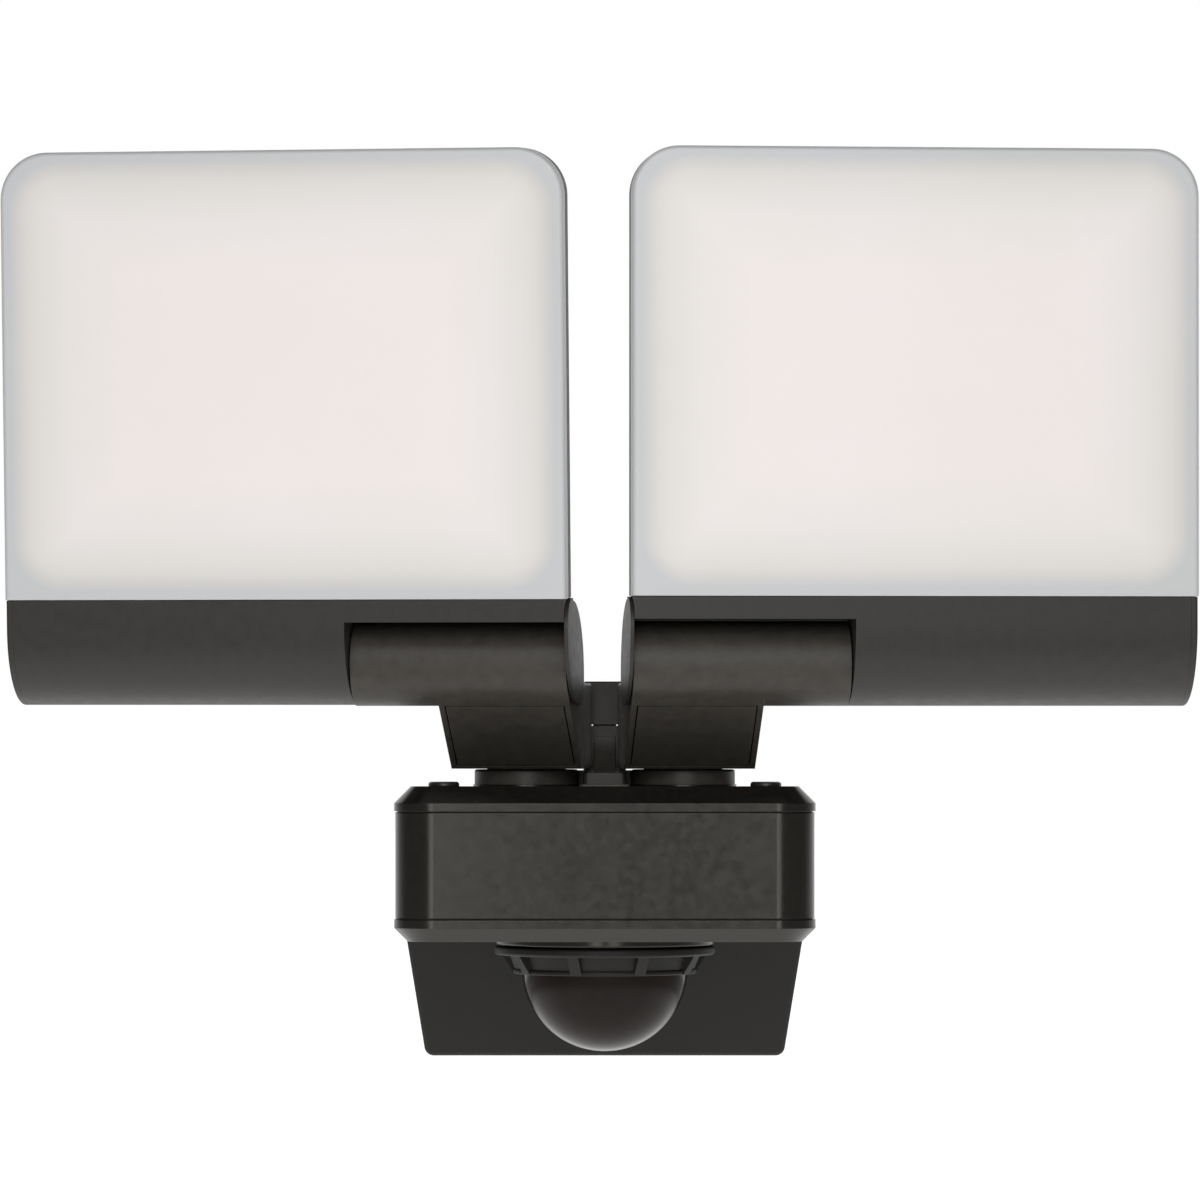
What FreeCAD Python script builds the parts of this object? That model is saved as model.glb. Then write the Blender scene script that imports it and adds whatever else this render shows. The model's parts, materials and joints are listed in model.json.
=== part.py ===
import FreeCAD, Part
import math
import os

# Twin-head wall floodlight with a motion sensor dome under its housing.
# Millimetres.  +Z is up, the front of the lamp looks along -Y, and the wall is the plane Y = 0.
# The origin is the centre of the wall plate's back face.
# Both heads are drawn for the left side, standing straight, then mirrored, leaned and swivelled.

V = FreeCAD.Vector

# ---- Clearances ----
RUNNING_GAP = 0.05        # radial play of a turning fit
SIDE_GAP = 0.35           # air between two pieces that move past each other
SEAM_GAP = 0.4            # joint between two casings, filled by a seal
FIT_GAP = 0.15            # loose place for a piece that is dropped in
EDGE_ROUND = 0.6          # small round on the outer edges of castings

# ---- Where the heads stand at rest ----
LEFT_YAW = 8.4            # degrees turned outward from straight ahead
RIGHT_YAW = 5.2
LEFT_LEAN = 3.4           # degrees leaned forward from upright
RIGHT_LEAN = 0.2

# ---- Swivel and tilt axes ----
SWIVEL_X = 20.1           # half the distance between the two swivel axes
SWIVEL_Y = -84.0
TILT_AHEAD = 32.0         # tilt axis in front of the swivel axis
TILT_Z = 69.0

# ---- Sensor housing ----
HOUSING_WIDTH = 106.0
HOUSING_DEPTH = 81.0
HOUSING_REAR_Y = -50.5
HOUSING_TOP_Z = 38.4
HOUSING_BOTTOM_Z = -0.6
HOUSING_CORNER = 10.0
HOUSING_WALL = 2.5
TOP_CHAMFER = 4.3
TOP_BAND = 2.2            # upright rim of the top cap under its chamfer
TOP_FALL = 1.2            # the top falls this much to the rear, so that rain runs off
BOTTOM_CHAMFER = 3.4
BOTTOM_BAND = 2.3
SHELL_INSET = 0.3         # the middle shell stands this far inside the two caps

# ---- Swivel necks ----
NECK_RADIUS = 13.3
FOOT_GAP = 0.3            # air between neck and foot
NECK_HEIGHT = 3.8
TUBE_RADIUS = 6.0
TUBE_BORE = 3.6
TENON_RADIUS = 11.0

# ---- Arm ----
ARM_HALF_WIDTH = 16.75
FOOT_AHEAD = 16.1         # front edge of the foot in front of the swivel axis
ARM_TOP_Z = 64.3
BARREL_RADIUS = 10.5
BARREL_OUTER = 38.3       # barrel end, measured outward from the swivel axis
COVER_HALF_WIDTH = 15.3
COVER_THICKNESS = 1.7
COVER_LOW = 1.0           # start of the cover above the foot's edge, along the slope
COVER_HIGH = 25.3
ARM_WALL = 2.6
LEAD_RADIUS = 2.0
LEAD_BENDS = (9.0, 5.4, 4.5)
LEAD_LOW_AHEAD = 22.0     # where the lead comes down from the barrel

# ---- Head ----
HEAD_WIDTH = 143.4
HEAD_INNER = 17.6         # inner edge of the panel, from the swivel axis
FRONT_AHEAD = 15.5        # light face in front of the tilt axis
PANEL_TOP_Z = 198.9
PANEL_CORNER = 12.0
PANEL_DEPTH = 9.8
DIFFUSER_DEPTH = 4.6
DIFFUSER_WALL = 1.8
DIFFUSER_FRONT = 1.6
DIFFUSER_ROUND = 1.2
TRAY_WALL = 2.2
TRAY_FLOOR = 1.6
RIB_COUNT = 9
RIB_HEIGHT = 2.4
BAR_TOP_Z = 86.0
BAR_DEPTH = 27.0
BAR_BOTTOM_Z = 58.5
BAR_FRONT_RADIUS = 20.0
BAR_BACK_RADIUS = 19.0
BAR_HEEL_RADIUS = 7.0
BAR_WALL = 2.2
NOTCH_OUTER = 38.7        # outer wall of the notch that takes the barrel
NOTCH_TOP_Z = 80.35
NOTCH_LIP = 5.0           # the ceiling comes down behind the barrel to this height above its axis
END_CAP = 0.9             # thickness of the plate that closes the bar's inner end
OUTER_CAP = 1.6
AXLE_RADIUS = 4.0
AXLE_BORE = 2.6
BOSS_RADIUS = 5.0
LED_COLUMNS = 8
LED_ROWS = 6
DRIVER_Z = 14.0           # top face of the driver board

# ---- Sensor dome ----
DOME_Y = -93.0
DOME_RADIUS = 21.2
DOME_CENTRE_Z = -8.4
DOME_WALL = 1.0
SEAT_RADIUS = 28.1
SEAT_THICKNESS = 1.8
RING_TOP_RADIUS = 26.5
RING_FOOT_RADIUS = 23.4
RING_FOOT_Z = -9.7
RING_LIP = 2.2
RING_RIBS = 9
RING_RIB_WIDTH = 3.0
RING_TOP_RELIEF = 2.2
RING_FOOT_RELIEF = 0.9

# ---- Centre post behind the arms ----
POST_WIDTH = 11.0
POST_DEPTH = 9.0
POST_BEHIND = 9.6         # front of the post behind the swivel axes
POST_TOP_Z = 64.8
POST_SEAM_Z = 53.5
WEB_WIDTH = 5.4
BRIDGE_WIDTH = 24.0       # foot of the post, hollowed round the two necks
PAD_RIM = 0.4             # level pads on the sloping top, wider than what stands on them
POST_CORNER = 2.0
POST_CAP_ROUND = 0.6
POST_SEAM_GAP = 0.3       # fine line between the post and its cap
POST_PEG_INSET = 2.5      # peg of the cap, inside the post's front and back
TONGUE_AHEAD = 3.0        # the tongue runs this far past a neck's radius
TONGUE_HEIGHT = 3.0
TONGUE_ROUND = 1.2
BRIDGE_AHEAD = 3.0        # the bridge starts this far behind the swivel axes
WEB_BELOW_SEAM = 3.0
WEB_TOE = 2.0             # the web starts this far up and back on the tongue

# ---- Wall box and wall plate ----
BOX_WIDTH = 104.2
BOX_FOOT_WIDTH = 94.2
BOX_TOP_Z = 34.8
BOX_FOOT_Z = -33.6
BOX_FOOT_DEPTH = 38.0
BOX_WALL = 2.5
BOX_ROUND = 2.5
WALL_SEAL = 1.5
PLATE_WIDTH = 90.0
PLATE_HEIGHT = 56.0
PLATE_THICKNESS = 2.0
SLOT_SPACING = 70.0
SLOT_WIDTH = 5.0
SLOT_LENGTH = 10.0
CABLE_HOLE = 10.0         # radius of the plate's cable hole
GROMMET_BORE = 4.5

# ---- Screws ----
TOP_SCREW_X = 40.6
TOP_SCREW_INSET = 15.5    # behind the housing's front
PAN_HEAD_RADIUS = 3.9
PAN_HEAD_HEIGHT = 1.0
SCREW_RADIUS = 1.75
BOSS_WALL = 2.2

# ---- Worked-out places ----
HOUSING_FRONT_Y = HOUSING_REAR_Y - HOUSING_DEPTH
TOP_SEAM_Z = HOUSING_TOP_Z - TOP_CHAMFER - TOP_BAND
BOTTOM_SEAM_Z = HOUSING_BOTTOM_Z + BOTTOM_CHAMFER + BOTTOM_BAND
NECK_TOP_Z = HOUSING_TOP_Z + NECK_HEIGHT
FOOT_Z = NECK_TOP_Z + FOOT_GAP
TILT_Y = SWIVEL_Y - TILT_AHEAD
FRONT_Y = TILT_Y - FRONT_AHEAD
PANEL_IN = -SWIVEL_X + HEAD_INNER
PANEL_OUT = PANEL_IN - HEAD_WIDTH
PANEL_BACK_Y = FRONT_Y + PANEL_DEPTH
BAR_OUT = PANEL_OUT + SEAM_GAP
NOTCH_OUT = -SWIVEL_X - NOTCH_OUTER
ARM_INNER_X = -SWIVEL_X + ARM_HALF_WIDTH
NOTCH_IN = ARM_INNER_X + SIDE_GAP
BARREL_OUT = -SWIVEL_X - BARREL_OUTER
SLOPE_RISE = TILT_Z - FOOT_Z
SLOPE_RUN = TILT_AHEAD - FOOT_AHEAD
SLOPE = math.atan2(SLOPE_RISE, SLOPE_RUN) - math.asin(BARREL_RADIUS / math.hypot(SLOPE_RISE, SLOPE_RUN))
SLOPE_LENGTH = math.sqrt(SLOPE_RISE ** 2 + SLOPE_RUN ** 2 - BARREL_RADIUS ** 2)


# ---- Helpers ----
def box(x0, x1, y0, y1, z0, z1):
    low = V(min(x0, x1), min(y0, y1), min(z0, z1))
    return Part.makeBox(abs(x1 - x0), abs(y1 - y0), abs(z1 - z0), low)


def rod(start, end, radius):
    direction = end - start
    return Part.makeCylinder(radius, direction.Length, start, direction)


def tube(start, end, radius, bore):
    return rod(start, end, radius).cut(rod(start, end, bore))


def outline(steps, place):
    """A closed face: each step is a point, or a (through, end) pair for an arc."""
    edges = []
    here = steps[0]
    for step in steps[1:] + [steps[0]]:
        if isinstance(step[0], tuple):
            through, end = step
            edges.append(Part.Arc(place(*here), place(*through), place(*end)).toShape())
            here = end
        elif step != here:
            edges.append(Part.LineSegment(place(*here), place(*step)).toShape())
            here = step
    return Part.Face(Part.Wire(edges))


def on_circle(centre, radius, degrees):
    angle = math.radians(degrees)
    return (centre[0] + radius * math.cos(angle), centre[1] + radius * math.sin(angle))


def rounded_block(width, y0, y1, z0, z1, corner):
    """A block centred on X = 0 with rounded upright corners."""
    block = box(-width / 2, width / 2, y0, y1, z0, z1)
    upright = [e for e in block.Edges if abs(e.tangentAt(e.FirstParameter).z) > 0.9]
    return block.makeFillet(corner, upright)


def edges_at(shape, test):
    return [e for e in shape.Edges if test(e.BoundBox)]


def rounded_path(points, radii):
    """Straight runs joined by tangent arcs, one radius for each corner."""
    edges = []
    here = points[0]
    for before, corner, after, radius in zip(points, points[1:], points[2:], radii):
        into = (corner - before).normalize()
        out = (after - corner).normalize()
        half = into.getAngle(out) / 2
        start = corner - into * (radius * math.tan(half))
        end = corner + out * (radius * math.tan(half))
        middle = corner + (out - into).normalize() * (radius / math.cos(half) - radius)
        edges.append(Part.LineSegment(here, start).toShape())
        edges.append(Part.Arc(start, middle, end).toShape())
        here = end
    edges.append(Part.LineSegment(here, points[-1]).toShape())
    return Part.Wire(edges)


# ---- Sensor housing ----
def cap(z_outer, z_seam, chamfer):
    """A shallow lid: open towards the seam, chamfered round its closed face."""
    lid = rounded_block(HOUSING_WIDTH, HOUSING_FRONT_Y, HOUSING_REAR_Y, z_outer, z_seam, HOUSING_CORNER)
    rim = edges_at(lid, lambda b: abs(b.ZMin - z_outer) < 0.01 and b.ZLength < 0.01)
    lid = lid.makeChamfer(chamfer, rim)
    towards_seam = math.copysign(HOUSING_WALL, z_seam - z_outer)
    inside = rounded_block(HOUSING_WIDTH - 2 * (chamfer + 0.8), HOUSING_FRONT_Y + chamfer + 0.8,
                           HOUSING_REAR_Y - chamfer - 0.8, z_outer + towards_seam, z_seam,
                           HOUSING_CORNER - chamfer)
    return lid.cut(inside)


def top_screw_places():
    y = HOUSING_FRONT_Y + TOP_SCREW_INSET
    return [V(-TOP_SCREW_X, y, 0), V(TOP_SCREW_X, y, 0)]


def bottom_screw_places():
    rear = HOUSING_REAR_Y - TOP_SCREW_INSET
    front = HOUSING_FRONT_Y + TOP_SCREW_INSET
    return [V(x, y, 0) for x in (-TOP_SCREW_X, TOP_SCREW_X) for y in (front, rear)]


def at_z(place, z):
    return V(place.x, place.y, z)


def rain_wedge():
    """What is taken off the flat top so that it falls to the rear, apart from the pads under necks and post."""
    front = HOUSING_FRONT_Y + TOP_CHAMFER
    steps = [(front, HOUSING_TOP_Z), (HOUSING_REAR_Y, HOUSING_TOP_Z - TOP_FALL),
             (HOUSING_REAR_Y + 1, HOUSING_TOP_Z + 1), (front, HOUSING_TOP_Z + 1)]
    wedge = outline(steps, lambda y, z: V(-HOUSING_WIDTH, y, z)).extrude(V(2 * HOUSING_WIDTH, 0, 0))
    for side in (-1, 1):
        foot = V(side * SWIVEL_X, SWIVEL_Y, HOUSING_TOP_Z - TOP_FALL)
        wedge = wedge.cut(rod(foot, foot + V(0, 0, TOP_FALL), NECK_RADIUS + PAD_RIM))
    front = SWIVEL_Y + POST_BEHIND
    half = POST_WIDTH / 2 + PAD_RIM
    pad_front = front - NECK_RADIUS - TONGUE_AHEAD - PAD_RIM
    pad = box(-half, half, pad_front, front, HOUSING_TOP_Z - TOP_FALL, HOUSING_TOP_Z)
    half = BRIDGE_WIDTH / 2 + PAD_RIM
    pad_front = SWIVEL_Y + BRIDGE_AHEAD
    wide = box(-half, half, pad_front, front + POST_DEPTH + PAD_RIM, HOUSING_TOP_Z - TOP_FALL, HOUSING_TOP_Z)
    return wedge.cut(pad).cut(wide)


def top_cap():
    lid = cap(HOUSING_TOP_Z, TOP_SEAM_Z + SEAM_GAP / 2, TOP_CHAMFER)
    lid = lid.cut(rain_wedge())
    for side in (-1, 1):
        foot = V(side * SWIVEL_X, SWIVEL_Y, TOP_SEAM_Z)
        lid = lid.cut(rod(foot, foot + V(0, 0, 12), TENON_RADIUS + FIT_GAP))
    for place in top_screw_places():
        lid = lid.fuse(rod(at_z(place, HOUSING_TOP_Z - 1), at_z(place, HOUSING_TOP_Z), PAN_HEAD_RADIUS))
        pad = rod(at_z(place, TOP_SEAM_Z + SEAM_GAP / 2), at_z(place, HOUSING_TOP_Z - 1), SCREW_RADIUS + BOSS_WALL)
        lid = lid.fuse(pad)
        lid = lid.cut(rod(at_z(place, 0), at_z(place, HOUSING_TOP_Z + 1), SCREW_RADIUS + FIT_GAP))
    return lid.removeSplitter()


def middle_shell():
    top = TOP_SEAM_Z - SEAM_GAP / 2
    bottom = BOTTOM_SEAM_Z + SEAM_GAP / 2
    outer = rounded_block(HOUSING_WIDTH - 2 * SHELL_INSET, HOUSING_FRONT_Y + SHELL_INSET,
                          HOUSING_REAR_Y, bottom, top, HOUSING_CORNER - SHELL_INSET)
    inset = SHELL_INSET + HOUSING_WALL
    inner = rounded_block(HOUSING_WIDTH - 2 * inset, HOUSING_FRONT_Y + inset,
                          HOUSING_REAR_Y - HOUSING_WALL, bottom, top, HOUSING_CORNER - inset)
    shell = outer.cut(inner)
    for place in bottom_screw_places():
        side = math.copysign(HOUSING_WIDTH / 2 - 1.5, place.x)
        post = rod(at_z(place, bottom), at_z(place, top), SCREW_RADIUS + BOSS_WALL)
        rib = box(place.x, side, place.y - 1, place.y + 1, bottom, top)
        shell = shell.fuse(post).fuse(rib)
        shell = shell.cut(rod(at_z(place, bottom - 1), at_z(place, top + 1), SCREW_RADIUS + RUNNING_GAP))
    shell = shell.cut(wire_window())
    for place in joint_screw_places():
        shell = shell.cut(rod(place, place + V(0, -10, 0), SCREW_RADIUS + FIT_GAP))
    return shell.removeSplitter()


def wire_window():
    """The opening for the wires between wall box and housing."""
    return box(-20, 20, HOUSING_REAR_Y - HOUSING_WALL - 1, HOUSING_REAR_Y + BOX_WALL + 1, 10, 24)


def joint_screw_places():
    return [V(side * 34.0, HOUSING_REAR_Y + BOX_WALL, 17.0) for side in (-1, 1)]


def bottom_cap():
    lid = cap(HOUSING_BOTTOM_Z, BOTTOM_SEAM_Z - SEAM_GAP / 2, BOTTOM_CHAMFER)
    centre = V(0, DOME_Y, HOUSING_BOTTOM_Z)
    lid = lid.cut(rod(centre + V(0, 0, -1), centre + V(0, 0, 8), DOME_RADIUS - 2.0))
    for place in bottom_screw_places():
        pad = rod(at_z(place, HOUSING_BOTTOM_Z + 1), at_z(place, BOTTOM_SEAM_Z - SEAM_GAP / 2), SCREW_RADIUS + BOSS_WALL)
        lid = lid.fuse(pad)
        lid = lid.cut(rod(at_z(place, HOUSING_BOTTOM_Z - 1), at_z(place, BOTTOM_SEAM_Z + 1), SCREW_RADIUS + FIT_GAP))
        recess = rod(at_z(place, HOUSING_BOTTOM_Z - 1), at_z(place, HOUSING_BOTTOM_Z + PAN_HEAD_HEIGHT), PAN_HEAD_RADIUS + FIT_GAP)
        lid = lid.cut(recess)
    return lid.removeSplitter()


def housing_seal(z_seam):
    inset = 1.1
    z0 = z_seam - SEAM_GAP / 2
    z1 = z_seam + SEAM_GAP / 2
    outer = rounded_block(HOUSING_WIDTH - 2 * inset, HOUSING_FRONT_Y + inset, HOUSING_REAR_Y - 0.6, z0, z1, 8.0)
    inset = SHELL_INSET + HOUSING_WALL
    inner = rounded_block(HOUSING_WIDTH - 2 * inset, HOUSING_FRONT_Y + inset, HOUSING_REAR_Y - HOUSING_WALL, z0, z1, 7.0)
    return outer.cut(inner)


def pan_screw(place, z_seat, up, length):
    """A pan-head screw; its head sits on z_seat and its shank goes the other way."""
    seat = at_z(place, z_seat)
    head = rod(seat, seat + V(0, 0, up * PAN_HEAD_HEIGHT), PAN_HEAD_RADIUS)
    top = z_seat + up * PAN_HEAD_HEIGHT
    rim = edges_at(head, lambda b: abs(b.ZMin - top) < 0.01 and b.ZLength < 0.01)
    head = head.makeFillet(0.7, rim)
    shank = rod(seat + V(0, 0, up * 0.2), seat - V(0, 0, up * length), SCREW_RADIUS)
    screw = head.fuse(shank)
    slot_depth = V(0, 0, up * (PAN_HEAD_HEIGHT - 0.6))
    for along in ((2.2, 0.4), (0.4, 2.2)):
        slot = box(place.x - along[0], place.x + along[0], place.y - along[1], place.y + along[1],
                   (seat + slot_depth).z, top + up)
        screw = screw.cut(slot)
    return screw.removeSplitter()


def top_screws():
    return Part.makeCompound([pan_screw(p, HOUSING_TOP_Z, 1, 14.0) for p in top_screw_places()])


def bottom_screws():
    seat = HOUSING_BOTTOM_Z + PAN_HEAD_HEIGHT
    return Part.makeCompound([pan_screw(p, seat, -1, 14.0) for p in bottom_screw_places()])


# ---- Inside the housing ----
def driver_board():
    return box(-36, 36, HOUSING_FRONT_Y + 8, HOUSING_REAR_Y - 6, DRIVER_Z - 1.6, DRIVER_Z)


def driver_parts():
    z = DRIVER_Z
    rear = HOUSING_REAR_Y - 10
    parts = [
        box(-30, -10, rear - 18, rear, z, z + 9),
        box(14, 32, rear - 10, rear, z, z + 7),
        rod(V(20, rear - 22, z), V(20, rear - 22, z + 10), 5.0),
        rod(V(32, rear - 22, z), V(32, rear - 22, z + 9), 4.0),
        box(-33, -20, HOUSING_FRONT_Y + 12, HOUSING_FRONT_Y + 20, z, z + 6),
        box(20, 33, HOUSING_FRONT_Y + 12, HOUSING_FRONT_Y + 20, z, z + 6),
    ]
    return Part.makeCompound(parts)


def sensor_board():
    centre = V(0, DOME_Y, 6.0)
    board = rod(centre, centre + V(0, 0, 1.2), 24.0)
    return board


def pyro_sensor():
    centre = V(0, DOME_Y, 6.0)
    can = rod(centre, centre - V(0, 0, 4.2), 4.6)
    collar = rod(centre, centre - V(0, 0, 0.8), 5.4)
    window = box(-2.0, 2.0, DOME_Y - 1.5, DOME_Y + 1.5, 6.0 - 4.4, 6.0 - 3.4)
    return can.fuse(collar).fuse(window).removeSplitter()


# ---- Sensor dome ----
SEAT_Z = HOUSING_BOTTOM_Z - SEAT_THICKNESS
RING_TOP_Z = SEAT_Z - 0.3


def dome_axis(z):
    return V(0, DOME_Y, z)


def ring_seat():
    seat = tube(dome_axis(HOUSING_BOTTOM_Z), dome_axis(SEAT_Z), SEAT_RADIUS, DOME_RADIUS - 2.0)
    rim = edges_at(seat, lambda b: abs(b.ZMin - SEAT_Z) < 0.01 and b.ZLength < 0.01 and b.XLength > 50)
    return seat.makeFillet(0.5, rim)


def dome_lens():
    """A thin dome with a straight collar and a flange under the seat, turned about its axis."""
    inner = DOME_RADIUS - DOME_WALL
    flange = DOME_RADIUS + 1.5
    centre = (0.0, DOME_CENTRE_Z)
    section = [
        (0.0, DOME_CENTRE_Z - DOME_RADIUS),
        (on_circle(centre, DOME_RADIUS, -45), (DOME_RADIUS, DOME_CENTRE_Z)),
        (DOME_RADIUS, SEAT_Z - 1.2),
        (flange, SEAT_Z - 1.2),
        (flange, SEAT_Z),
        (inner, SEAT_Z),
        (inner, DOME_CENTRE_Z),
        (on_circle(centre, inner, -45), (0.0, DOME_CENTRE_Z - inner)),
    ]
    face = outline(section, lambda r, z: V(r, DOME_Y, z))
    return face.revolve(dome_axis(0), V(0, 0, 1), 360)


def grip_ring():
    lip_bottom = RING_TOP_Z - RING_LIP
    lip = rod(dome_axis(RING_TOP_Z), dome_axis(lip_bottom), SEAT_RADIUS)
    rims = edges_at(lip, lambda b: b.ZLength < 0.01)
    lip = lip.makeFillet(0.7, rims)
    height = lip_bottom - RING_FOOT_Z
    full = Part.makeCone(RING_FOOT_RADIUS, RING_TOP_RADIUS, height, dome_axis(RING_FOOT_Z))
    core = Part.makeCone(RING_FOOT_RADIUS - RING_FOOT_RELIEF, RING_TOP_RADIUS - RING_TOP_RELIEF, height,
                         dome_axis(RING_FOOT_Z))
    ring = lip.fuse(core)
    for turn in range(RING_RIBS):
        rib = box(-RING_RIB_WIDTH / 2, RING_RIB_WIDTH / 2, 15, 40, RING_FOOT_Z, lip_bottom)
        rib.translate(V(0, DOME_Y, 0))
        rib.rotate(dome_axis(0), V(0, 0, 1), 360.0 / RING_RIBS * turn + 202)
        ring = ring.fuse(rib.common(full))
    foot = rod(dome_axis(RING_FOOT_Z), dome_axis(RING_FOOT_Z + 1.2), RING_FOOT_RADIUS)
    foot = foot.makeFillet(0.4, edges_at(foot, lambda b: b.ZLength < 0.01))
    ring = ring.fuse(foot)
    bore = rod(dome_axis(RING_FOOT_Z - 1), dome_axis(RING_TOP_Z + 1), DOME_RADIUS + SIDE_GAP)
    pocket = rod(dome_axis(SEAT_Z - 1.2 - SIDE_GAP), dome_axis(RING_TOP_Z + 1), DOME_RADIUS + 1.5 + SIDE_GAP)
    return ring.cut(bore).cut(pocket).removeSplitter()


# ---- Centre post ----
def centre_post():
    front = SWIVEL_Y + POST_BEHIND
    column_top = POST_SEAM_Z - POST_SEAM_GAP / 2
    column = box(-POST_WIDTH / 2, POST_WIDTH / 2, front, front + POST_DEPTH, HOUSING_TOP_Z, column_top)
    upright = edges_at(column, lambda b: b.ZLength > 5)
    column = column.makeFillet(POST_CORNER, upright)
    reach = front - NECK_RADIUS - TONGUE_AHEAD
    tongue_top = HOUSING_TOP_Z + TONGUE_HEIGHT
    tongue = box(-POST_WIDTH / 2, POST_WIDTH / 2, reach, front + POST_CORNER + 1, HOUSING_TOP_Z, tongue_top)
    tongue = tongue.makeFillet(TONGUE_ROUND, edges_at(tongue, lambda b: b.ZLength > 1 and b.YMin < reach + 1))
    web_top = POST_SEAM_Z - WEB_BELOW_SEAM
    rise = web_top - HOUSING_TOP_Z
    web_steps = [
        (front + WEB_TOE, HOUSING_TOP_Z),
        (reach + WEB_TOE, HOUSING_TOP_Z),
        (reach + WEB_TOE, HOUSING_TOP_Z + WEB_TOE),
        ((front - 5.5, HOUSING_TOP_Z + rise * 0.38), (front - 0.5, web_top)),
        (front + WEB_TOE, web_top),
    ]
    web = outline(web_steps, lambda y, z: V(-WEB_WIDTH / 2, y, z)).extrude(V(WEB_WIDTH, 0, 0))
    bridge_front = SWIVEL_Y + BRIDGE_AHEAD
    bridge_top = NECK_TOP_Z - SIDE_GAP
    bridge = box(-BRIDGE_WIDTH / 2, BRIDGE_WIDTH / 2, bridge_front, front + POST_DEPTH, HOUSING_TOP_Z, bridge_top)
    post = column.fuse(tongue).fuse(web).fuse(bridge)
    for side in (-1, 1):
        neck_axis = V(side * SWIVEL_X, SWIVEL_Y, HOUSING_TOP_Z - 1)
        post = post.cut(rod(neck_axis, V(neck_axis.x, neck_axis.y, NECK_TOP_Z + SIDE_GAP), NECK_RADIUS + SIDE_GAP))
    return post.removeSplitter()


def post_cap():
    front = SWIVEL_Y + POST_BEHIND
    foot = POST_SEAM_Z + POST_SEAM_GAP / 2
    lid = box(-POST_WIDTH / 2, POST_WIDTH / 2, front, front + POST_DEPTH, foot, POST_TOP_Z)
    lid = lid.makeFillet(POST_CORNER, edges_at(lid, lambda b: b.ZLength > 5))
    lid = lid.makeFillet(POST_CAP_ROUND, edges_at(lid, lambda b: b.ZMin > POST_TOP_Z - 0.01))
    back = front + POST_DEPTH - POST_PEG_INSET
    peg = box(-3, 3, front + POST_PEG_INSET, back, POST_SEAM_Z - POST_SEAM_GAP / 2, POST_SEAM_Z + 1)
    return lid.fuse(peg).removeSplitter()


# ---- Wall box and plate ----
def wall_box():
    def body(inset, y_rear):
        half = BOX_WIDTH / 2 - inset
        foot_half = BOX_FOOT_WIDTH / 2 - inset
        top = BOX_TOP_Z - inset
        foot = BOX_FOOT_Z + inset
        bend = HOUSING_BOTTOM_Z
        face = outline([(-half, top), (half, top), (half, bend), (foot_half, foot), (-foot_half, foot),
                        (-half, bend)], lambda x, z: V(x, y_rear, z))
        front = face.extrude(V(0, HOUSING_REAR_Y + inset - y_rear, 0))
        corners = edges_at(front, lambda b: b.YLength > 20)
        front = front.makeFillet(BOX_ROUND, corners)
        side = outline([(y_rear, top), (HOUSING_REAR_Y + inset, top), (HOUSING_REAR_Y + inset, bend),
                        (-BOX_FOOT_DEPTH + inset, foot), (y_rear, foot)], lambda y, z: V(-80, y, z))
        return front.common(side.extrude(V(160, 0, 0)))

    outer = body(0.0, -WALL_SEAL)
    front_edges = []
    for edge in outer.Edges:
        b = edge.BoundBox
        slanted = b.ZMax < HOUSING_BOTTOM_Z + 0.1 and b.ZMin > BOX_FOOT_Z - 0.1
        if slanted and b.YMax < -BOX_FOOT_DEPTH + 0.1 and b.ZLength > 20 and b.XLength < 12:
            front_edges.append(edge)
    outer = outer.makeFillet(1.6, front_edges)
    shell = outer.cut(body(BOX_WALL, -WALL_SEAL))
    shell = shell.cut(wire_window())
    for place in joint_screw_places():
        shell = shell.cut(rod(place + V(0, 1, 0), place + V(0, -BOX_WALL - 1, 0), SCREW_RADIUS + FIT_GAP))
    for place in box_screw_places():
        shell = shell.cut(rod(at_z(place, BOX_FOOT_Z - 1), at_z(place, BOX_FOOT_Z + BOX_WALL + 1), SCREW_RADIUS + FIT_GAP))
        shell = shell.cut(rod(at_z(place, BOX_FOOT_Z - 1), at_z(place, BOX_FOOT_Z + 1.2), PAN_HEAD_RADIUS + FIT_GAP))
    return shell.removeSplitter()


def box_screw_places():
    return [V(side * 30.0, -9.0, 0) for side in (-1, 1)]


def wall_seal():
    def ring(inset):
        half = BOX_WIDTH / 2 - inset
        foot_half = BOX_FOOT_WIDTH / 2 - inset
        top = BOX_TOP_Z - inset
        foot = BOX_FOOT_Z + inset
        face = outline([(-half, top), (half, top), (half, HOUSING_BOTTOM_Z), (foot_half, foot),
                        (-foot_half, foot), (-half, HOUSING_BOTTOM_Z)], lambda x, z: V(x, 0, z))
        pad = face.extrude(V(0, -WALL_SEAL, 0))
        return pad.makeFillet(BOX_ROUND, edges_at(pad, lambda b: b.YLength > 1))
    return ring(0.3).cut(ring(BOX_WALL + 0.3))


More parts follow.
